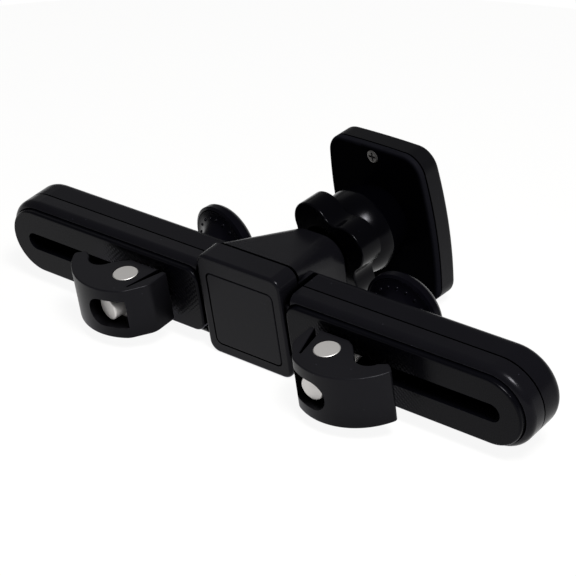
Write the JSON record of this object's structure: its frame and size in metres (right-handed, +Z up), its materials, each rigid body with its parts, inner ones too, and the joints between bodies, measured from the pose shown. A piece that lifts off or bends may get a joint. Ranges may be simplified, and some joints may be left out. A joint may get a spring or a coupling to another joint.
{
  "type": "headrest tablet mount",
  "caption": "Slotted bar with sliding hooks that clamp to headrest posts, a tapered arm and a lockable ball joint carrying a magnetic tablet plate.",
  "frame": {"origin": "middle of the bar, on the plane of its front rim, 1.8 mm behind the slot plates that the headrest posts bear on", "axes": "+X along the bar, +Y from the headrest posts towards the tablet, +Z up"},
  "size_m": [0.225, 0.1062, 0.0606],
  "materials": {
    "black_plastic": "fine-grained matte black",
    "knurled_plastic": "matte black with a fine diamond knurl",
    "satin_plastic": "satin black",
    "gloss_plastic": "glossy black",
    "liner_plastic": "dark grey liner",
    "grip_rubber": "matte black grip pad",
    "zinc_steel": "bright zinc plate"
  },
  "bodies": {
    "bar": {"front_shell": "black_plastic", "rear_shell": "black_plastic", "left_slot_plate": "knurled_plastic", "right_slot_plate": "knurled_plastic", "centre_panel": "black_plastic", "housing_screws": "zinc_steel"},
    "left_carriage": {"left_washer": "zinc_steel"},
    "left_knob": {"left_knob": "satin_plastic", "left_knob_nut": "zinc_steel"},
    "left_bolt": {"left_bolt": "zinc_steel", "left_barrel": "zinc_steel"},
    "left_hook": {"left_hook": "black_plastic"},
    "right_carriage": {"right_washer": "zinc_steel"},
    "right_knob": {"right_knob": "satin_plastic", "right_knob_nut": "zinc_steel"},
    "right_bolt": {"right_bolt": "zinc_steel", "right_barrel": "zinc_steel"},
    "right_hook": {"right_hook": "black_plastic"},
    "tilt_liner": {"friction_pad": "liner_plastic"},
    "pan_liner": {"ball_collet": "liner_plastic"},
    "head": {"head_back_cover": "gloss_plastic", "head_front_cover": "satin_plastic", "face_pad": "grip_rubber", "head_magnets": "zinc_steel", "head_screws": "zinc_steel"},
    "lock_nut": {"lock_nut": "gloss_plastic"}
  },
  "joints": [
    {"name": "left_slot_slide", "type": "slide", "parent": "bar", "child": "left_carriage", "axis": [1, 0, 0], "range_m": [-0.057, 0.0034]},
    {"name": "left_knob_turn", "type": "hinge", "parent": "left_carriage", "child": "left_knob", "pos_m": [-0.0438, -0.0106, 0], "axis": [0.1736, 0.9848, 0], "range_deg": [-900, 450]},
    {"name": "left_hook_draw", "type": "slide", "parent": "left_carriage", "child": "left_bolt", "axis": [0.1736, 0.9848, 0], "range_m": [-0.002, 0.001]},
    {"name": "left_hook_swing", "type": "hinge", "parent": "left_bolt", "child": "left_hook", "pos_m": [-0.0438, -0.0106, 0], "axis": [0, 0, 1], "range_deg": [-8, 1]},
    {"name": "right_slot_slide", "type": "slide", "parent": "bar", "child": "right_carriage", "axis": [1, 0, 0], "range_m": [-0.0086, 0.0558]},
    {"name": "right_knob_turn", "type": "hinge", "parent": "right_carriage", "child": "right_knob", "pos_m": [0.0438, -0.0106, 0], "axis": [0, 1, 0], "range_deg": [-1800, 450]},
    {"name": "right_hook_draw", "type": "slide", "parent": "right_carriage", "child": "right_bolt", "axis": [0, 1, 0], "range_m": [-0.004, 0.001]},
    {"name": "right_hook_swing", "type": "hinge", "parent": "right_bolt", "child": "right_hook", "pos_m": [0.0438, -0.0106, 0], "axis": [0, 0, 1], "range_deg": [-3, 8]},
    {"name": "head_tilt", "type": "hinge", "parent": "bar", "child": "tilt_liner", "pos_m": [0, 0.0575, 0], "axis": [1, 0, 0], "range_deg": [-12, 12]},
    {"name": "head_pan", "type": "hinge", "parent": "tilt_liner", "child": "pan_liner", "pos_m": [0, 0.0575, 0], "axis": [0, 0, 1], "range_deg": [-7, 17]},
    {"name": "head_spin", "type": "hinge", "parent": "pan_liner", "child": "head", "pos_m": [0, 0.0575, 0], "axis": [0.0872, 0.9962, 0], "continuous": true},
    {"name": "lock_nut_turn", "type": "hinge", "parent": "head", "child": "lock_nut", "pos_m": [0, 0.0575, 0], "axis": [0.0872, 0.9962, 0], "range_deg": [0, 180]}
  ],
  "couplings": [
    {"joint": "left_knob_turn", "follows": "left_hook_draw", "rad_per_m": 7853.9},
    {"joint": "right_knob_turn", "follows": "right_hook_draw", "rad_per_m": 7853.9}
  ]
}
